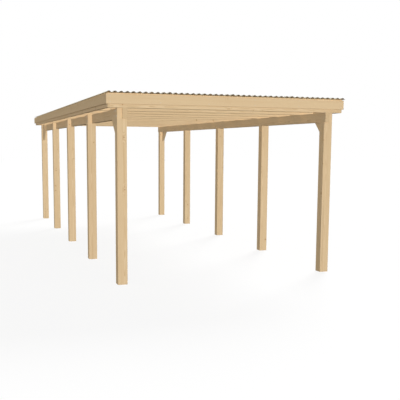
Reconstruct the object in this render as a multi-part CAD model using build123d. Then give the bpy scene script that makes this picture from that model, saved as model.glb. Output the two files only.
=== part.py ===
# Carport with a flat roof, free-standing: ten square posts, two long beams let into
# the posts, cross rafters, a double rim of boards and corrugated roof sheets.
# Millimetres, +Z up, front toward -Y, origin on the ground at the middle of the roof outline.
import math
import os

from build123d import *

# ---- posts ----
post_size = 120.0            # square section
posts_per_side = 5
post_pitch = 1923.0          # centre to centre along a side
width_over_posts = 2942.0    # outside face to outside face

# ---- long beams, let into the inner half of every post ----
beam_thick = 60.0
beam_height = 125.0
beam_underside = 2030.0      # clear height beneath the beams
beam_proud = 32.0            # end of a beam past the face of the end post

# ---- rafters lying across the beams ----
rafter_thick = 48.0
rafter_height = 175.0
rafter_count = 12            # the first and the last one close the frame

# ---- side rims, nailed over the rafter ends ----
rim_thick = 28.0
rim_offset = 122.0           # outer face of the rim past the outside of the posts

# ---- fascia boards, outermost ----
fascia_thick = 18.0
fascia_height = 120.0
fascia_drop = 10.0           # top of the fascia below the top of the rafters

# ---- corner gussets ----
gusset_leg = 337.0
gusset_thick = 48.0
gusset_toe = 12.0            # blunt end of each point

# ---- gutter in the space behind the last rafter ----
gutter_space = 82.0
ledger_thick = 28.0
gutter_clearance = 0.5       # each side, between the liner and the timber
gutter_height = 69.0
gutter_wall = 2.0
spout_diameter = 50.0
spout_below_ledger = 30.0
spout_shoulder = 1.0         # thicker through the ledger, so that the downpipe stops there
spout_hole_clearance = 1.0
spout_from_end = 160.0

# ---- corrugated sheets, waves running front to back ----
wave_pitch = 75.3
wave_height = 18.0
sheet_thick = 3.0
sheet_crests = (11, 12, 12, 11)   # neighbours share one crest
sheet_front_overhang = 20.0
sheet_rear_lip = 30.0             # how far the sheets reach over the gutter
lap_clearance = 0.3
lap_end_angle = 44.0              # degrees past the crest where a lapped edge stops

# ---- small rounding of sawn timber ----
edge_round = 3.0

# ---- levels and lines that follow from the sizes above ----
beam_top = beam_underside + beam_height
rafter_top = beam_top + rafter_height
fascia_top = rafter_top - fascia_drop
length_over_posts = (posts_per_side - 1) * post_pitch + post_size
frame_length = length_over_posts + 2 * (beam_proud - 2.0)
frame_width = width_over_posts + 2 * rim_offset
body_width = frame_width + 2 * fascia_thick
body_length = frame_length + gutter_space + 2 * fascia_thick + sheet_front_overhang
y_front = -body_length / 2 + sheet_front_overhang
y_frame = y_front + fascia_thick
y_frame_end = y_frame + frame_length
y_rear = y_frame_end + gutter_space + fascia_thick
y_post_0 = y_frame + (beam_proud - 2.0) + post_size / 2


def board(name, x0, x1, y0, y1, z0, z1, round_along=None):
    """A sawn board between two corners, its long edges rounded along one axis."""
    solid = Pos((x0 + x1) / 2, (y0 + y1) / 2, (z0 + z1) / 2) * Box(x1 - x0, y1 - y0, z1 - z0)
    if round_along is not None:
        solid = fillet(solid.edges().filter_by(round_along), edge_round)
    save(name, solid)


def save(name, solid):
    """Write one piece of the carport as its own STEP file."""
    solid.label = name
    export_step(solid, os.path.join("parts", name + ".step"))


def make_post(name, side, y_mid):
    """Square post; its inner half is cut down to carry the beam, the outer half runs on up."""
    x_mid = side * (width_over_posts / 2 - post_size / 2)
    shaft = Pos(x_mid, y_mid, beam_top / 2) * Box(post_size, post_size, beam_top)
    shaft = fillet(shaft.edges().filter_by(Axis.Z), edge_round)
    notch_x = side * (width_over_posts / 2 - post_size + beam_thick / 2)
    notch = Pos(notch_x, y_mid, beam_underside + beam_height / 2) * Box(
        beam_thick, post_size, beam_height
    )
    save(name, shaft - notch)


def make_gusset(name, side, y_face, toward):
    """Triangular gusset in the angle of a corner post and the outer face of its beam."""
    x_beam = side * (width_over_posts / 2 - post_size + beam_thick)
    x_mid = x_beam + side * gusset_thick / 2
    reach = toward * gusset_leg
    toe = toward * gusset_toe
    outline = Polyline(
        (y_face, beam_top - gusset_leg),
        (y_face, beam_top),
        (y_face + reach, beam_top),
        (y_face + reach, beam_top - gusset_toe),
        (y_face + toe, beam_top - gusset_leg),
        close=True,
    )
    face = make_face(Plane.YZ * outline)
    solid = extrude(face, gusset_thick / 2, dir=(1, 0, 0), both=True)
    save(name, Pos(x_mid, 0, 0) * solid)


def arc_points(centre, radius, start, end):
    """Start, middle and end of an arc; angles in degrees, measured from straight up."""
    picked = []
    for angle in (start, (start + end) / 2, end):
        turn = math.radians(angle)
        picked.append((centre[0] + radius * math.sin(turn), centre[1] + radius * math.cos(turn)))
    return picked


def make_sheet(name, first_crest, crests, laps_over, laps_under):
    """One corrugated sheet of even thickness, each wave a crest arc and a trough arc.

    An edge that laps over its neighbour opens its last crest by one sheet thickness, so
    the two crests nest; the half trough beside it is drawn tighter to meet it smoothly.
    """
    half = wave_pitch / 2
    bend = (half**2 + wave_height**2) / (4 * wave_height)
    lean = math.degrees(math.asin(half / (2 * bend)))
    crest_z = wave_height - bend
    arcs = []
    for number in range(crests):
        x_crest = first_crest + number * wave_pitch
        is_first = number == 0
        is_last = number == crests - 1
        if is_first and laps_over:
            wide = bend + sheet_thick + lap_clearance
            tight = (half**2 + crest_z**2 - wide**2) / (2 * (wide + crest_z))
            swing = math.degrees(math.atan2(half, tight - crest_z))
            arcs.append(((x_crest, crest_z), wide, -lap_end_angle, swing, 1))
            arcs.append(((x_crest + half, tight), tight, 180 + swing, 180, -1))
            arcs.append(((x_crest + half, bend), bend, 180, 180 - lean, -1))
            continue
        if is_first:
            arcs.append(((x_crest - half, bend), bend, 180, 180 - lean, -1))
        if is_last and laps_under:
            arcs.append(((x_crest, crest_z), bend, -lean, lap_end_angle, 1))
            continue
        arcs.append(((x_crest, crest_z), bend, -lean, lean, 1))
        if is_last:
            arcs.append(((x_crest + half, bend), bend, 180 + lean, 180, -1))
        else:
            arcs.append(((x_crest + half, bend), bend, 180 + lean, 180 - lean, -1))
    upper = []
    lower = []
    for centre, radius, start, end, bulge in arcs:
        upper.append(arc_points(centre, radius + bulge * sheet_thick / 2, start, end))
        lower.append(arc_points(centre, radius - bulge * sheet_thick / 2, start, end))
    edges = [ThreePointArc(*points) for points in upper]
    edges.append(Line(upper[-1][2], lower[-1][2]))
    edges.extend(ThreePointArc(*reversed(points)) for points in reversed(lower))
    edges.append(Line(lower[0][0], upper[0][0]))
    profile = make_face([Plane.XZ * edge for edge in edges])
    y_start = y_front - sheet_front_overhang
    y_end = y_frame_end + sheet_rear_lip
    solid = extrude(profile, y_end - y_start, dir=(0, 1, 0))
    save(name, Pos(0, y_start, rafter_top + sheet_thick / 2) * solid)


os.makedirs("parts", exist_ok=True)

# ---- posts and beams ----
side_names = (("left", -1), ("right", 1))
for side_name, side in side_names:
    for number in range(posts_per_side):
        post_name = f"post_{side_name}_{number + 1}"
        make_post(post_name, side, y_post_0 + number * post_pitch)
    inner = side * (width_over_posts / 2 - post_size)
    outer = inner + side * beam_thick
    board(
        f"beam_{side_name}",
        min(inner, outer),
        max(inner, outer),
        y_post_0 - post_size / 2 - beam_proud,
        y_post_0 + (posts_per_side - 1) * post_pitch + post_size / 2 + beam_proud,
        beam_underside,
        beam_top,
    )

# ---- rafters ----
rafter_step = (frame_length - rafter_thick) / (rafter_count - 1)
for number in range(rafter_count):
    y0 = y_frame + number * rafter_step
    board(
        f"rafter_{number + 1:02d}",
        -frame_width / 2 + rim_thick,
        frame_width / 2 - rim_thick,
        y0,
        y0 + rafter_thick,
        beam_top,
        rafter_top,
        Axis.X,
    )

# ---- side rims ----
for side_name, side in side_names:
    outer = side * frame_width / 2
    inner = outer - side * rim_thick
    board(
        f"rim_{side_name}",
        min(inner, outer),
        max(inner, outer),
        y_frame,
        y_frame_end,
        beam_top,
        rafter_top,
        Axis.Y,
    )

# ---- fascia boards; the front and rear ones cover the ends of the side ones ----
fascia_bottom = fascia_top - fascia_height
for side_name, side in side_names:
    inner = side * frame_width / 2
    outer = inner + side * fascia_thick
    board(
        f"fascia_{side_name}",
        min(inner, outer),
        max(inner, outer),
        y_frame,
        y_rear - fascia_thick,
        fascia_bottom,
        fascia_top,
        Axis.Y,
    )
for end_name, y0 in (("front", y_front), ("rear", y_rear - fascia_thick)):
    board(
        f"fascia_{end_name}",
        -body_width / 2,
        body_width / 2,
        y0,
        y0 + fascia_thick,
        fascia_bottom,
        fascia_top,
        Axis.X,
    )

# ---- gussets at the four corner posts ----
y_first_back = y_post_0 + post_size / 2
y_last_front = y_post_0 + (posts_per_side - 1) * post_pitch - post_size / 2
for side_name, side in side_names:
    make_gusset(f"gusset_front_{side_name}", side, y_first_back, 1)
    make_gusset(f"gusset_rear_{side_name}", side, y_last_front, -1)

# ---- gutter: a ledger board closes the space behind the last rafter, a liner lies in it ----
ledger_bottom = fascia_bottom + edge_round
ledger_top = ledger_bottom + ledger_thick
spout_x = -frame_width / 2 + spout_from_end
y_gutter = y_frame_end + gutter_space / 2
ledger = Pos(0, y_gutter, (ledger_bottom + ledger_top) / 2) * Box(
    frame_width, gutter_space, ledger_thick
)
ledger -= Pos(spout_x, y_gutter, ledger_bottom) * Cylinder(
    spout_diameter / 2 + spout_shoulder + spout_hole_clearance, 4 * ledger_thick
)
save("gutter_ledger", ledger)

liner_long = frame_width - 2 * gutter_clearance
liner_wide = gutter_space - 2 * gutter_clearance
liner_z = ledger_top + gutter_height / 2
liner = Pos(0, y_gutter, liner_z) * Box(liner_long, liner_wide, gutter_height)
liner -= Pos(0, y_gutter, liner_z + gutter_wall) * Box(
    liner_long - 2 * gutter_wall, liner_wide - 2 * gutter_wall, gutter_height
)
spout_top = ledger_top + gutter_wall
spout_bottom = ledger_bottom - spout_below_ledger
liner += Pos(spout_x, y_gutter, (spout_top + ledger_bottom) / 2) * Cylinder(
    spout_diameter / 2 + spout_shoulder, spout_top - ledger_bottom
)
liner += Pos(spout_x, y_gutter, (spout_top + spout_bottom) / 2) * Cylinder(
    spout_diameter / 2, spout_top - spout_bottom
)
liner -= Pos(spout_x, y_gutter, spout_top) * Cylinder(
    spout_diameter / 2 - gutter_wall, 4 * (spout_top - spout_bottom)
)
save("gutter_liner", liner)

# ---- roof sheets ----
crest_total = sum(sheet_crests) - (len(sheet_crests) - 1)
crest_index = 0
for number, crests in enumerate(sheet_crests):
    x_first = (crest_index - (crest_total - 1) / 2) * wave_pitch
    make_sheet(
        f"roof_sheet_{number + 1}",
        x_first,
        crests,
        number > 0,
        number < len(sheet_crests) - 1,
    )
    crest_index += crests - 1
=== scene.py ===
# A timber carport with a flat roof of corrugated sheets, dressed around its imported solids.
# Metres, +Z up, front toward -Y, origin on the ground at the middle of the roof's outline.
import math
import random

import bpy
from mathutils import Matrix, Vector


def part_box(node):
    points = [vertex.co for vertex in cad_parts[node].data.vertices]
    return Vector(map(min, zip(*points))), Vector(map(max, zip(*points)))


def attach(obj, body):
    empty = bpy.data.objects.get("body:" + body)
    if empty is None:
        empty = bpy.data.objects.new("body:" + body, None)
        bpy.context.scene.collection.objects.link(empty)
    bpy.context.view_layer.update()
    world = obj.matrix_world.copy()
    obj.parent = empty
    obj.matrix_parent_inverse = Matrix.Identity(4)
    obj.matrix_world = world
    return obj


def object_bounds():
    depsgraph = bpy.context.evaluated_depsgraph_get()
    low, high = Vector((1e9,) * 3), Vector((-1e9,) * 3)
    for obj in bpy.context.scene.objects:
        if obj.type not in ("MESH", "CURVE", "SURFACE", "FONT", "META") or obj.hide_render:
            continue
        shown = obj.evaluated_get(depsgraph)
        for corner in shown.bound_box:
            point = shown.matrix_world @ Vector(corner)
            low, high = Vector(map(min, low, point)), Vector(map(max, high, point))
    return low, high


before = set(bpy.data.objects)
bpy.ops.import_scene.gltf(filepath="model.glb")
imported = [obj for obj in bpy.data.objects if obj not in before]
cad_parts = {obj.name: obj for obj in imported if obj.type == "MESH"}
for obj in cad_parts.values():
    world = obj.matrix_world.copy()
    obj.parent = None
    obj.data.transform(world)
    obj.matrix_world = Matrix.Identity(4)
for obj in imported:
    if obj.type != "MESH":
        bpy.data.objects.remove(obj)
cad_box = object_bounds()

# ---- Posts --------------------------------------------------------------------------
# Ten posts of planed spruce, 120 mm square with eased corners, standing on their sawn
# ends. At the head the inner half is sawn away as a seat for the long beam, and the
# outer half runs on as a tongue, to which two screws hold the beam.

lot = random.Random(4711)


def join(outlet, inlet):
    """Leads the outlet of one node of a material into the inlet of another."""
    outlet.id_data.links.new(outlet, inlet)


def step(work, *values):
    """One sum in a material. Each value is a number or the outlet of another node."""
    tree = next(value.id_data for value in values if not isinstance(value, (int, float)))
    node = tree.nodes.new("ShaderNodeMath")
    node.operation = work
    for inlet, value in zip(node.inputs, values):
        if isinstance(value, (int, float)):
            inlet.default_value = value
        else:
            join(value, inlet)
    return node.outputs[0]


def plus(one, other):
    """The sum of two values in a material."""
    return step("ADD", one, other)


def less(one, other):
    """One value in a material, less another."""
    return step("SUBTRACT", one, other)


def times(one, other):
    """The product of two values in a material."""
    return step("MULTIPLY", one, other)


def slant(one, other):
    """How far off a point is that lies one value along and the other across."""
    return step("SQRT", plus(times(one, one), times(other, other)))


def along_line(where, direction):
    """How far a point lies along a direction."""
    node = where.id_data.nodes.new("ShaderNodeVectorMath")
    node.operation = "DOT_PRODUCT"
    join(where, node.inputs[0])
    node.inputs[1].default_value = direction
    return node.outputs["Value"]


def cloud(where, stretch, detail=2.0, shift=0.0):
    """Soft noise, with its own fineness along, across and through a board."""
    nodes = where.id_data.nodes
    scaled = nodes.new("ShaderNodeMapping")
    scaled.inputs["Scale"].default_value = stretch
    scaled.inputs["Location"].default_value = (shift, shift * 1.7, shift * 0.6)
    join(where, scaled.inputs["Vector"])
    noise = nodes.new("ShaderNodeTexNoise")
    noise.inputs["Scale"].default_value = 1.0
    noise.inputs["Detail"].default_value = detail
    join(scaled.outputs[0], noise.inputs["Vector"])
    return noise.outputs["Fac"]


def ramp(value, start, end, low=0.0, high=1.0):
    """Turns a value between start and end smoothly into one between low and high."""
    node = value.id_data.nodes.new("ShaderNodeMapRange")
    node.interpolation_type = "SMOOTHSTEP"
    limits = {"From Min": start, "From Max": end, "To Min": low, "To Max": high}
    for inlet, number in limits.items():
        node.inputs[inlet].default_value = number
    join(value, node.inputs["Value"])
    return node.outputs["Result"]


def fall(value, start, end):
    """Turns a value between start and end smoothly into one from 1 down to 0."""
    return ramp(value, start, end, low=1.0, high=0.0)


def tint(share, under, over):
    """Lays one colour over another by a share from 0 to 1."""
    node = share.id_data.nodes.new("ShaderNodeMix")
    node.data_type = "RGBA"
    join(share, node.inputs["Factor"])
    for inlet, colour in ((node.inputs[6], under), (node.inputs[7], over)):
        if isinstance(colour, tuple):
            inlet.default_value = (*colour, 1.0)
        else:
            join(colour, inlet)
    return node.outputs[2]


def shaded(colour, tone):
    """A colour made lighter or darker as a whole."""
    return tuple(tone * part for part in colour)


def relief(shader, height, strength, depth):
    """Lets a surface rise and fall with a value, by up to a depth in metres."""
    bump = height.id_data.nodes.new("ShaderNodeBump")
    bump.inputs["Strength"].default_value = strength
    bump.inputs["Distance"].default_value = depth
    join(height, bump.inputs["Height"])
    join(bump.outputs[0], shader.inputs["Normal"])


def blank(title):
    """A new material: itself, its nodes, its shader, and the node that gives the place."""
    material = bpy.data.materials.new(title)
    material.use_nodes = True
    nodes = material.node_tree.nodes
    return material, nodes, nodes["Principled BSDF"], nodes.new("ShaderNodeTexCoord")


def middle(node):
    """The middle of a solid of the frame."""
    low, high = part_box(node)
    return (low + high) / 2


spruce_pale = (0.735, 0.560, 0.345)
spruce_warm = (0.640, 0.452, 0.256)
spruce_late = (0.575, 0.398, 0.212)
spruce_knot = (0.40, 0.225, 0.105)
spruce_end = (0.46, 0.32, 0.17)
spruce_split = (0.13, 0.075, 0.035)
ring_width = 0.0034
heart_sway = 0.03
ring_bulge = 0.005
whorls = ((0.37, 0.15), (0.53, 0.11))  # distance between whorls, and girth by reach
branch_climb = 0.3
thin_branch = 0.0005
thick_branch = 0.011
split_wander = 0.006


def spruce(node, grain, heart, tone, split=0.0):
    """Planed spruce for one piece of timber, the solid that node names.

    grain is the direction of its length. heart is where the heart of the tree lies
    beside the middle of the piece, so rings, knots and drying splits run through it and
    meet rightly at its edges and on its sawn ends. tone lightens or darkens the whole
    piece, and split is half the width of a drying split.
    """
    material, nodes, shader, place = blank(f"spruce_{node}")
    grain = Vector(grain).normalized()
    level = Vector((0.0, 0.0, 1.0) if abs(grain.z) < 0.9 else (0.0, 1.0, 0.0))
    across = grain.cross(level).normalized()
    deep = grain.cross(across)

    from_core = nodes.new("ShaderNodeVectorMath")
    from_core.operation = "SUBTRACT"
    join(place.outputs["Object"], from_core.inputs[0])
    from_core.inputs[1].default_value = middle(node)
    length = along_line(from_core.outputs[0], grain)
    width = along_line(from_core.outputs[0], across)
    depth = along_line(from_core.outputs[0], deep)
    lain = nodes.new("ShaderNodeCombineXYZ")
    for inlet, value in zip(lain.inputs, (length, width, depth)):
        join(value, inlet)
    board = lain.outputs[0]
    shift = lot.uniform(0.0, 50.0)

    # The heart wanders a few millimetres over a metre.
    sway = cloud(board, (0.9, 2.0, 2.0), detail=1.0, shift=shift)
    sway = times(less(sway, 0.5), heart_sway)
    side_a = plus(less(width, heart[0]), sway)
    side_b = less(less(depth, heart[1]), sway)

    # A whorl of branches every third of a metre or so, each one a cone out of the heart.
    knot = None
    halo = None
    for spacing, girth_by_reach in whorls:
        whorl = nodes.new("ShaderNodeTexVoronoi")
        whorl.voronoi_dimensions = "1D"
        whorl.inputs["Scale"].default_value = 1.0
        join(plus(step("DIVIDE", length, spacing), shift), whorl.inputs["W"])
        centre = times(less(whorl.outputs["W"], shift), spacing)
        turn = times(whorl.outputs["Color"], 3.0 * math.tau)
        cosine = step("COSINE", turn)
        sine = step("SINE", turn)
        outward = plus(times(side_a, cosine), times(side_b, sine))
        beside = less(times(side_a, sine), times(side_b, cosine))
        rise = less(less(length, centre), times(outward, branch_climb))
        girth = step("MAXIMUM", times(outward, girth_by_reach), thin_branch)
        girth = step("MINIMUM", girth, thick_branch)
        inside = fall(step("DIVIDE", slant(beside, rise), girth), 0.8, 1.05)
        flow = slant(beside, times(rise, 0.4))
        around = fall(step("DIVIDE", flow, girth), 0.4, 3.4)
        knot = inside if knot is None else step("MAXIMUM", knot, inside)
        halo = around if halo is None else step("MAXIMUM", halo, around)

    # Yearly rings: a slow rise to the dark late wood and a sharp fall back to the pale.
    bulge = times(halo, ring_bulge)
    ring = step("DIVIDE", plus(slant(side_a, side_b), bulge), ring_width)
    waver = cloud(board, (1.5, 30.0, 30.0), shift=shift + 3.0)
    ring = step("FRACT", plus(ring, times(waver, 2.2)))
    late = times(ramp(ring, 0.35, 0.88), fall(ring, 0.93, 1.0))
    fibre = cloud(board, (14.0, 900.0, 900.0), detail=3.0, shift=shift + 8.0)
    streak = cloud(board, (0.8, 26.0, 26.0), detail=3.0, shift=shift + 17.0)
    patch = cloud(board, (1.3, 5.0, 5.0), shift=shift + 29.0)
    warm = shaded(spruce_warm, tone)
    dark = shaded(spruce_late, tone)
    colour = tint(times(late, 0.72), shaded(spruce_pale, tone), dark)
    colour = tint(times(ramp(streak, 0.45, 0.72), 0.45), colour, warm)
    colour = tint(times(ramp(patch, 0.5, 0.75), 0.30), colour, warm)
    colour = tint(times(ramp(fibre, 0.52, 0.7), 0.25), colour, dark)

    # Knots are reddish brown, and the wood is a little darker round them.
    colour = tint(times(halo, 0.35), colour, warm)
    colour = tint(times(knot, 0.7), colour, shaded(spruce_knot, tone))

    # Sawn ends drink more and look darker.
    facing = step("ABSOLUTE", along_line(place.outputs["Normal"], grain))
    sawn = ramp(facing, 0.85, 0.95)
    colour = tint(times(sawn, 0.30), colour, shaded(spruce_end, tone))

    # Drying splits run out from the heart in one plane, where the piece holds the heart.
    crack = None
    if split:
        turn = lot.uniform(0.0, math.tau)
        line = less(times(side_a, math.sin(turn)), times(side_b, math.cos(turn)))
        wander = cloud(board, (9.0, 4.0, 4.0), detail=3.0, shift=shift + 41.0)
        line = plus(line, times(less(wander, 0.5), split_wander))
        outward = plus(times(side_a, math.cos(turn)), times(side_b, math.sin(turn)))
        open_part = cloud(board, (1.1, 0.1, 0.1), detail=1.0, shift=shift + 53.0)
        width_here = times(ramp(open_part, 0.50, 0.62), split)
        crack = step("LESS_THAN", step("ABSOLUTE", line), width_here)
        crack = times(crack, ramp(outward, 0.004, 0.02))
        colour = tint(times(crack, 0.8), colour, spruce_split)

    join(colour, shader.inputs["Base Color"])
    rough = less(plus(times(fibre, 0.18), 0.76), times(knot, 0.12))
    join(rough, shader.inputs["Roughness"])
    shader.inputs["Specular IOR Level"].default_value = 0.05
    height = plus(plus(times(late, 0.35), times(fibre, 0.65)), times(knot, 0.5))
    if crack is not None:
        height = less(height, times(crack, 3.0))
    relief(shader, height, strength=0.5, depth=0.0006)
    return material


def dress(node, material):
    """Gives a solid of the frame its finish."""
    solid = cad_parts[node]
    for socket in solid.material_slots:
        socket.material = material


upright = (0, 0, 1)
sides = (("left", -1), ("right", 1))
post_numbers = range(1, 6)
for side, _ in sides:
    for number in post_numbers:
        name = f"post_{side}_{number}"
        heart = (lot.uniform(-0.035, 0.035), lot.uniform(-0.035, 0.035))
        tone = lot.uniform(0.97, 1.03)
        dress(name, spruce(name, upright, heart, tone, split=0.0011))

# ---- Long beams ---------------------------------------------------------------------
# Two spruce beams, 60 by 125 mm, each in one length over the five posts of its side.
# They lie in the seats of the posts, stand a little proud of the end posts, and take
# two zinc-plated wafer-head screws at every post, driven through the tongue from outside.

lengthwise = (0, 1, 0)
for side, _ in sides:
    name = f"beam_{side}"
    heart = (lot.uniform(-0.01, 0.02), lot.uniform(-0.03, 0.03))
    tone = lot.uniform(0.98, 1.02)
    dress(name, spruce(name, lengthwise, heart, tone, split=0.0007))

head_corners = 24


def turned(title, seats, outline, finish, drape=None):
    """Many like heads as one mesh, each a stack of rings from the rim in to the middle.

    A seat is a point on the timber and the direction that the head looks. outline gives
    each ring as radius, height and how deep the six lobes of the drive are. drape lowers
    a point by its place across the head, for a washer that lies over a curve; such heads
    aren't spun.
    """
    points = []
    faces = []
    for spot, outward in seats:
        turn = Vector(outward).to_track_quat("Z", "X").to_matrix()
        spin = Matrix.Identity(3)
        if drape is None:
            spin = Matrix.Rotation(lot.uniform(0.0, math.tau), 3, "Z")
        first = len(points)
        for radius, height, lobe in outline:
            for corner in range(head_corners):
                angle = math.tau * corner / head_corners
                reach = radius * (1.0 + lobe * math.cos(6.0 * angle))
                local = Vector((reach * math.cos(angle), reach * math.sin(angle), height))
                if drape is not None:
                    local.z += drape(local.x)
                points.append(Vector(spot) + turn @ spin @ local)
        for level in range(len(outline) - 1):
            low = first + level * head_corners
            high = low + head_corners
            for corner in range(head_corners):
                following = (corner + 1) % head_corners
                faces.append((low + corner, low + following, high + following, high + corner))
        last = first + (len(outline) - 1) * head_corners
        faces.append(tuple(range(last, last + head_corners)))
    mesh = bpy.data.meshes.new(title)
    mesh.from_pydata(points, [], faces)
    mesh.update()
    for face in mesh.polygons:
        face.use_smooth = len(face.vertices) == 4
    mesh.materials.append(finish)
    piece = bpy.data.objects.new(title, mesh)
    bpy.context.scene.collection.objects.link(piece)
    return piece


def plated(title, colour, rough):
    """Bright metal of small fixings: a plated skin, clouded and finely scratched."""
    material, nodes, shader, place = blank(title)
    where = place.outputs["Object"]
    dull = cloud(where, (160.0, 160.0, 160.0), detail=3.0)
    scratch = cloud(where, (2500.0, 300.0, 2500.0), shift=5.0)
    shade = tint(ramp(dull, 0.4, 0.7), colour, shaded(colour, 0.72))
    join(shade, shader.inputs["Base Color"])
    join(plus(times(scratch, 0.3), rough), shader.inputs["Roughness"])
    shader.inputs["Metallic"].default_value = 1.0
    return material


def outer_face(node, outside):
    """Where a solid's outer face lies across the carport; outside is -1 left, 1 right."""
    low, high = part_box(node)
    return high.x if outside > 0 else low.x


zinc = plated("zinc_plate", (0.62, 0.60, 0.55), 0.25)
wafer_head = (
    (0.0098, 0.0, 0.0),
    (0.0100, 0.0008, 0.0),
    (0.0094, 0.0019, 0.0),
    (0.0070, 0.0030, 0.0),
    (0.0040, 0.0034, 0.0),
    (0.0030, 0.0033, 0.14),
    (0.0026, 0.0012, 0.14),
)
beam_screw_margin = 0.030
beam_screw_stagger = 0.025
seats = []
for side, outside in sides:
    beam_low, beam_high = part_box(f"beam_{side}")
    screw_spots = (
        (-beam_screw_stagger, beam_low.z + beam_screw_margin),
        (beam_screw_stagger, beam_high.z - beam_screw_margin),
    )
    for number in post_numbers:
        name = f"post_{side}_{number}"
        for shift_y, height in screw_spots:
            spot = (outer_face(name, outside), middle(name).y + shift_y, height)
            seats.append((spot, (outside, 0, 0)))
beam_screws = turned("beam_screws", seats, wafer_head, zinc)
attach(beam_screws, "root")

# ---- Gussets ------------------------------------------------------------------------
# Four triangles of 48 mm spruce in the angles of the corner posts, against the outer
# face of the beam, the grain along the long edge. Three screws hold each to the beam,
# and one through the long edge pulls it to the post.

countersunk = (
    (0.0058, 0.0, 0.0),
    (0.0060, 0.0004, 0.0),
    (0.0056, 0.0008, 0.0),
    (0.0034, 0.0009, 0.0),
    (0.0026, 0.0009, 0.14),
    (0.0022, 0.0002, 0.14),
)
gusset_heart = (0.05, 0.03)
slope_screw_along = 0.075
slope_screw_rise = 0.063
seats = []
for end, toward in (("front", 1), ("rear", -1)):
    for side, outside in sides:
        name = f"gusset_{end}_{side}"
        dress(name, spruce(name, (0, toward, 1), gusset_heart, lot.uniform(0.97, 1.02)))
        low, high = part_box(name)
        beam_low, beam_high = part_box(f"beam_{side}")
        post_y = low.y if toward > 0 else high.y
        # How far each screw sits from the post, and its height.
        screw_spots = (
            (0.05, beam_low.z + 0.03),
            (0.09, beam_high.z - 0.03),
            (0.19, beam_high.z - 0.045),
        )
        for along, height in screw_spots:
            spot = (outer_face(name, outside), post_y + toward * along, height)
            seats.append((spot, (outside, 0, 0)))
        slope_y = post_y + toward * slope_screw_along
        slope_spot = (middle(name).x, slope_y, low.z + slope_screw_rise)
        seats.append((slope_spot, (0, toward, -1)))
gusset_screws = turned("gusset_screws", seats, countersunk, zinc)
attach(gusset_screws, "root")

# ---- Rafters ------------------------------------------------------------------------
# Twelve rafters of 48 by 175 mm spruce lie on edge across the beams, planed with eased
# edges. The first and the last close the frame. Skew screws through both faces hold
# each one down on the beams, and none shows on the outer face of the first or the last.

crosswise = (1, 0, 0)
rafter_names = [f"rafter_{number:02d}" for number in range(1, 13)]
skew_screw_aside = 0.012
skew_screw_rise = 0.034
seats = []
for name in rafter_names:
    heart = (lot.uniform(-0.02, 0.02), lot.choice((-1, 1)) * lot.uniform(0.04, 0.11))
    tone = lot.uniform(0.97, 1.03)
    dress(name, spruce(name, crosswise, heart, tone, split=0.0004))
    low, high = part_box(name)
    height = low.z + skew_screw_rise
    for side, _ in sides:
        beam_x = middle(f"beam_{side}").x
        if name != rafter_names[-1]:
            seats.append(((beam_x + skew_screw_aside, high.y, height), (0, 1, 0)))
        if name != rafter_names[0]:
            seats.append(((beam_x - skew_screw_aside, low.y, height), (0, -1, 0)))
rafter_screws = turned("rafter_screws", seats, countersunk, zinc)
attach(rafter_screws, "root")

# ---- Side rims ----------------------------------------------------------------------
# A 28 mm board along each side closes the ends of the rafters, as deep as they are. It
# is screwed into the end grain of every rafter; the lower screw of each pair shows
# below the fascia.

rim_screw_rise = 0.024
seats = []
for side, outside in sides:
    name = f"rim_{side}"
    heart = (lot.uniform(-0.03, 0.03), lot.choice((-1, 1)) * lot.uniform(0.03, 0.07))
    tone = lot.uniform(0.98, 1.02)
    dress(name, spruce(name, lengthwise, heart, tone))
    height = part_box(name)[0].z + rim_screw_rise
    for rafter in rafter_names:
        spot = (outer_face(name, outside), middle(rafter).y, height)
        seats.append((spot, (outside, 0, 0)))
rim_screws = turned("rim_screws", seats, countersunk, zinc)
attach(rim_screws, "root")

# ---- Fascia boards ------------------------------------------------------------------
# Four boards of 18 by 120 mm spruce go round the frame a little below its top. The long
# ones run along the sides, and the front and rear ones cover their ends. Pairs of small
# stainless screws hold them at every rafter and at even steps across the ends.

small_head = (
    (0.0038, 0.0, 0.0),
    (0.0040, 0.0002, 0.0),
    (0.0037, 0.0005, 0.0),
    (0.0024, 0.0005, 0.0),
    (0.0019, 0.0005, 0.14),
    (0.0016, 0.0001, 0.14),
)
steel = plated("stainless_steel", (0.66, 0.64, 0.61), 0.22)
fascia_screw_margin = 0.025
fascia_end_margin = 0.045
fascia_end_pairs = 6


def fascia(name, grain):
    """Dresses a fascia board, and gives the heights of its pairs of screws."""
    heart = (lot.uniform(-0.03, 0.03), lot.choice((-1, 1)) * lot.uniform(0.04, 0.09))
    tone = lot.uniform(0.98, 1.02)
    dress(name, spruce(name, grain, heart, tone))
    low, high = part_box(name)
    return low.z + fascia_screw_margin, high.z - fascia_screw_margin


seats = []
for side, outside in sides:
    name = f"fascia_{side}"
    heights = fascia(name, lengthwise)
    for rafter in rafter_names:
        for height in heights:
            spot = (outer_face(name, outside), middle(rafter).y, height)
            seats.append((spot, (outside, 0, 0)))
for end, toward in (("front", -1), ("rear", 1)):
    name = f"fascia_{end}"
    heights = fascia(name, crosswise)
    low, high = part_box(name)
    screwed_width = high.x - low.x - 2 * fascia_end_margin
    for number in range(fascia_end_pairs):
        across = low.x + fascia_end_margin + screwed_width * number / (fascia_end_pairs - 1)
        for height in heights:
            spot = (across, high.y if toward > 0 else low.y, height)
            seats.append((spot, (0, toward, 0)))
fascia_screws = turned("fascia_screws", seats, small_head, steel)
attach(fascia_screws, "root")

# ---- Gutter -------------------------------------------------------------------------
# Behind the last rafter a spruce ledger board closes the space up to the rear fascia.
# A trough of dark brown PVC lies on it and drains through a spout at its left end.

ledger_heart = (0.01, 0.06)
ledger_tone = lot.uniform(0.98, 1.02)
dress("gutter_ledger", spruce("gutter_ledger", crosswise, ledger_heart, ledger_tone))

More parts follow.
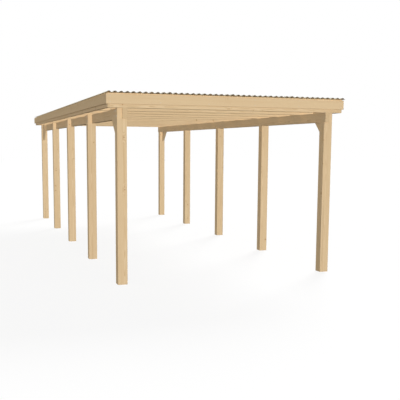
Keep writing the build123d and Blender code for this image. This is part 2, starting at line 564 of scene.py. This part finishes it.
pvc_brown = (0.046, 0.033, 0.024)
pvc_dusty = (0.17, 0.145, 0.11)
tide_mark = 0.03


def brown_pvc():
    """Moulded PVC with a dry film of dust and tide marks on its floor."""
    material, nodes, shader, place = blank("gutter_pvc")
    where = place.outputs["Object"]
    cut = nodes.new("ShaderNodeSeparateXYZ")
    join(where, cut.inputs[0])
    floor_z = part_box("gutter_ledger")[1].z
    wash = cloud(where, (5.0, 40.0, 40.0), detail=4.0)
    low = fall(cut.outputs["Z"], floor_z, floor_z + tide_mark)
    dust = times(ramp(wash, 0.35, 0.65), plus(times(low, 0.5), 0.12))
    join(tint(dust, pvc_brown, pvc_dusty), shader.inputs["Base Color"])
    join(plus(times(dust, 0.4), 0.35), shader.inputs["Roughness"])
    grain = cloud(where, (700.0, 700.0, 700.0))
    relief(shader, grain, strength=0.25, depth=0.0004)
    return material


dress("gutter_liner", brown_pvc())

# ---- Roof sheets --------------------------------------------------------------------
# Four corrugated sheets of pale glass-fibre polyester, one length from front to rear,
# waves of 75 by 18 mm. Each laps its neighbour by one wave. They are held on every
# rafter by stainless screws through the crests, under domed caps.

sheet_names = [f"roof_sheet_{number}" for number in range(1, 5)]
sheet_pale = (0.560, 0.495, 0.345)
sheet_strand = (0.660, 0.610, 0.470)
sheet_mottle = (0.480, 0.425, 0.290)
sheet_grime = (0.250, 0.230, 0.150)
# Nearly black for the sheets' cut ends: painted shade.
sheet_end_painted_shade = (0.05, 0.036, 0.02)


def glass_fibre():
    """Pale polyester with strands of glass in it, and dust and grime in the valleys."""
    material, nodes, shader, place = blank("roof_polyester")
    where = place.outputs["Object"]
    cut = nodes.new("ShaderNodeSeparateXYZ")
    join(where, cut.inputs[0])
    strands = None
    for angle in (0.3, 1.2, 2.2, 2.9):
        laid = nodes.new("ShaderNodeMapping")
        laid.inputs["Rotation"].default_value = (0.0, 0.0, angle)
        join(where, laid.inputs["Vector"])
        lay = cloud(laid.outputs[0], (28.0, 700.0, 28.0), detail=1.0, shift=9.0 * angle)
        lay = ramp(lay, 0.60, 0.72)
        strands = lay if strands is None else step("MAXIMUM", strands, lay)
    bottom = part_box(sheet_names[0])[0].z
    valley = fall(cut.outputs["Z"], bottom + 0.002, bottom + 0.014)
    run_off = cloud(where, (30.0, 1.1, 1.0), detail=4.0, shift=2.0)
    mottle = cloud(where, (2.0, 2.0, 2.0), detail=3.0, shift=6.0)
    shade = tint(times(strands, 0.30), sheet_pale, sheet_strand)
    shade = tint(times(ramp(mottle, 0.4, 0.7), 0.30), shade, sheet_mottle)
    dust = times(valley, ramp(run_off, 0.35, 0.70))
    shade = tint(times(dust, 0.5), shade, sheet_grime)
    # The cut ends at front and rear are painted nearly black: painted shade at the edge of the
    # waves.
    facing = step("ABSOLUTE", along_line(place.outputs["Normal"], lengthwise))
    shade = tint(ramp(facing, 0.7, 0.9), shade, sheet_end_painted_shade)
    join(shade, shader.inputs["Base Color"])
    join(plus(times(dust, 0.30), 0.42), shader.inputs["Roughness"])
    relief(shader, strands, strength=0.3, depth=0.0003)
    return material


polyester = glass_fibre()
for name in sheet_names:
    dress(name, polyester)

wave_pitch = 0.0753
wave_height = 0.018
sheet_thick = 0.003
crest_total = 43
lapped_crests = (10, 21, 32)
wave_radius = ((wave_pitch / 2) ** 2 + wave_height**2) / (4 * wave_height)
crest_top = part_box(sheet_names[0])[1].z
cap_room = cad_box[1][2] - crest_top


def over_crest(x):
    """How far the outside of a crest has fallen at a distance from its middle."""
    outer = wave_radius + sheet_thick / 2
    return math.sqrt(outer**2 - x**2) - outer


domed_cap = (
    (0.0110, -0.0004, 0.0),
    (0.0112, 0.0006, 0.0),
    (0.0104, 0.0012, 0.0),
    (0.0080, 0.0016, 0.0),
    (0.0074, 0.0022, 0.0),
    (0.0060, 0.0029, 0.0),
    (0.0030, cap_room - 0.0001, 0.0),
    (0.0010, cap_room, 0.0),
)
beside_laps = [crest + aside for crest in lapped_crests for aside in (-1, 1)]
held_crests = [
    crest
    for crest in range(1, crest_total - 1)
    if crest in beside_laps or (crest % 3 == 1 and crest not in lapped_crests)
]
seats = []
for name in rafter_names:
    for crest in held_crests:
        across = (crest - (crest_total - 1) / 2) * wave_pitch
        seats.append(((across, middle(name).y, crest_top), upright))
cap_beige = (0.36, 0.31, 0.22)
cap_bleached = (0.50, 0.45, 0.35)


def cap_plastic():
    """Sun-bleached beige cap of a roofing screw."""
    material, nodes, shader, place = blank("cap_plastic")
    bleach = cloud(place.outputs["Object"], (90.0, 90.0, 90.0), detail=3.0)
    bleach = ramp(bleach, 0.35, 0.7)
    join(tint(bleach, cap_beige, cap_bleached), shader.inputs["Base Color"])
    join(plus(times(bleach, 0.2), 0.4), shader.inputs["Roughness"])
    return material


roof_caps = turned("roof_caps", seats, domed_cap, cap_plastic(), drape=over_crest)
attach(roof_caps, "root")

# ---- Wave fillers -------------------------------------------------------------------
# Strips of closed-cell foam, cut to the wave, shut the hollows under the crests on
# the first and the last rafter against birds and driven rain. The screws clamp them.
# Their dark brown colour is painted shade for the hollows, which the shadowless lamps light.


def underside(x):
    """Height of the sheet's underside over the rafters at a place across the roof."""
    from_crest = abs((x + wave_pitch / 2) % wave_pitch - wave_pitch / 2)
    from_valley = wave_pitch / 2 - from_crest
    inner = wave_radius - sheet_thick / 2
    outer = wave_radius + sheet_thick / 2
    lean = math.asin(wave_pitch / 4 / wave_radius)
    if from_crest < inner * math.sin(lean):
        rise = wave_height - wave_radius + math.sqrt(inner**2 - from_crest**2)
    else:
        rise = wave_radius - math.sqrt(outer**2 - from_valley**2)
    return rise + sheet_thick / 2


# Dark brown of the foam: painted shade for the hollows under the crests.
painted_shade_pore = (0.070, 0.052, 0.032)
painted_shade_brown = (0.130, 0.098, 0.060)


def foam():
    """Closed-cell foam with fine open pores on its cut faces, dark brown as painted shade."""
    material, nodes, shader, place = blank("filler_painted_shade")
    pores = nodes.new("ShaderNodeTexVoronoi")
    pores.inputs["Scale"].default_value = 900.0
    join(place.outputs["Object"], pores.inputs["Vector"])
    wall = ramp(pores.outputs["Distance"], 0.1, 0.5)
    # The pores and the foam between them are painted dark, as painted shade.
    join(tint(wall, painted_shade_pore, painted_shade_brown), shader.inputs["Base Color"])
    shader.inputs["Roughness"].default_value = 0.9
    relief(shader, wall, strength=1.0, depth=0.0005)
    return material


filler_painted_shade = foam()
filler_deep = 0.030
filler_set_back = 0.003
filler_clearance = 0.0001
filler_thinnest = 0.0002
columns_per_wave = 12
columns = crest_total * columns_per_wave
for title, rafter in (("filler_front", rafter_names[0]), ("filler_rear", rafter_names[-1])):
    low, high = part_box(rafter)
    near = low.y + filler_set_back
    far = near + filler_deep
    points = []
    faces = []
    for column in range(columns + 1):
        x = (2 * column / columns - 1) * high.x
        top = high.z + max(underside(x) - filler_clearance, filler_thinnest)
        points += [(x, near, high.z), (x, near, top), (x, far, top), (x, far, high.z)]
    for column in range(columns):
        here = 4 * column
        there = here + 4
        for edge in range(4):
            following = (edge + 1) % 4
            faces.append((here + edge, there + edge, there + following, here + following))
    faces += [(0, 1, 2, 3), tuple(4 * columns + corner for corner in (3, 2, 1, 0))]
    mesh = bpy.data.meshes.new(title)
    mesh.from_pydata(points, [], faces)
    mesh.materials.append(filler_painted_shade)
    filler = bpy.data.objects.new(title, mesh)
    bpy.context.scene.collection.objects.link(filler)
    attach(filler, "root")

# ---- Floor and backdrop -------------------------------------------------------------
# A wide pale floor that keeps a faint shadow of the carport, under an even white sky.
# Neither is part of the carport. To the timber they are duller than they look, so that
# undersides stay as deep as they are under a real roof.

floor_reach = 60
floor_corners = [
    (-floor_reach, -floor_reach, 0),
    (floor_reach, -floor_reach, 0),
    (floor_reach, floor_reach, 0),
    (-floor_reach, floor_reach, 0),
]
floor_mesh = bpy.data.meshes.new("floor")
floor_mesh.from_pydata(floor_corners, [], [(0, 1, 2, 3)])
floor = bpy.data.objects.new("floor", floor_mesh)
bpy.context.scene.collection.objects.link(floor)


def looked_at(nodes):
    """1 for what is seen, mirrored or seen through glass, and 0 for what lights the timber."""
    rays = nodes.new("ShaderNodeLightPath")
    mirrored = step("MAXIMUM", rays.outputs["Is Glossy Ray"], rays.outputs["Is Transmission Ray"])
    return step("MAXIMUM", rays.outputs["Is Camera Ray"], mirrored)


floor_dull = 0.02
floor_grey = 0.16
floor_glow = 0.845
paper = bpy.data.materials.new("pale_floor")
paper.use_nodes = True
nodes = paper.node_tree.nodes
nodes.clear()
matt = nodes.new("ShaderNodeBsdfDiffuse")
matt.inputs["Color"].default_value = (floor_dull, floor_dull, floor_dull, 1)
faint = nodes.new("ShaderNodeBsdfDiffuse")
faint.inputs["Color"].default_value = (floor_grey, floor_grey, floor_grey, 1)
glow = nodes.new("ShaderNodeEmission")
glow.inputs["Strength"].default_value = floor_glow
both = nodes.new("ShaderNodeAddShader")
join(faint.outputs[0], both.inputs[0])
join(glow.outputs[0], both.inputs[1])
pick = nodes.new("ShaderNodeMixShader")
join(looked_at(nodes), pick.inputs[0])
join(matt.outputs[0], pick.inputs[1])
join(both.outputs[0], pick.inputs[2])
join(pick.outputs[0], nodes.new("ShaderNodeOutputMaterial").inputs[0])
floor_mesh.materials.append(paper)

sky_light = 0.20
world = bpy.data.worlds.new("studio")
bpy.context.scene.world = world
world.use_nodes = True
sky = world.node_tree.nodes["Background"]
sky.inputs["Color"].default_value = (1, 1, 1, 1)
brightness = plus(times(looked_at(world.node_tree.nodes), 1.0 - sky_light), sky_light)
join(brightness, sky.inputs["Strength"])

# ---- Lamps --------------------------------------------------------------------------
# Even studio light that reaches in under the roof: a key in front and a weaker fill on the
# left, both without shadows or glare, and a third lamp behind on the right that throws the
# shadow and the gloss.

lamp_width = 20


def lamp(title, strength, azimuth, elevation, shadow=False):
    """A far lamp; azimuth 0 is straight in front, and it grows toward the right side."""
    light = bpy.data.lights.new(title, "SUN")
    light.energy = strength
    light.angle = math.radians(lamp_width)
    light.use_shadow = shadow
    holder = bpy.data.objects.new(title, light)
    holder.visible_glossy = shadow
    bpy.context.scene.collection.objects.link(holder)
    turn = math.radians(azimuth)
    climb = math.radians(elevation)
    flat = math.cos(climb)
    toward = Vector((math.sin(turn) * flat, -math.cos(turn) * flat, math.sin(climb)))
    holder.rotation_euler = toward.to_track_quat("Z", "Y").to_euler()


lamp("front_lamp", 2.86, 0, 12)
lamp("left_lamp", 1.24, -90, 25)
lamp("rear_lamp", 2.4, 140, 35, shadow=True)

# ---- Camera -------------------------------------------------------------------------
# A camera at eye height in front of the left corner, turned to the right and tipped a
# little down. Its small shift sets the carport in the frame.

camera_data = bpy.data.cameras.new("camera")
camera_data.lens = 58.991
camera_data.sensor_width = 36.0
camera_data.shift_x = 0.03
camera_data.shift_y = 0.055
camera = bpy.data.objects.new("camera", camera_data)
bpy.context.scene.collection.objects.link(camera)
camera.location = (-3.2494, -11.7125, 1.7157)
camera.rotation_euler = [math.radians(angle) for angle in (83.3205, -0.3133, -19.0075)]
bpy.context.scene.camera = camera
bpy.context.scene.view_settings.view_transform = "Standard"
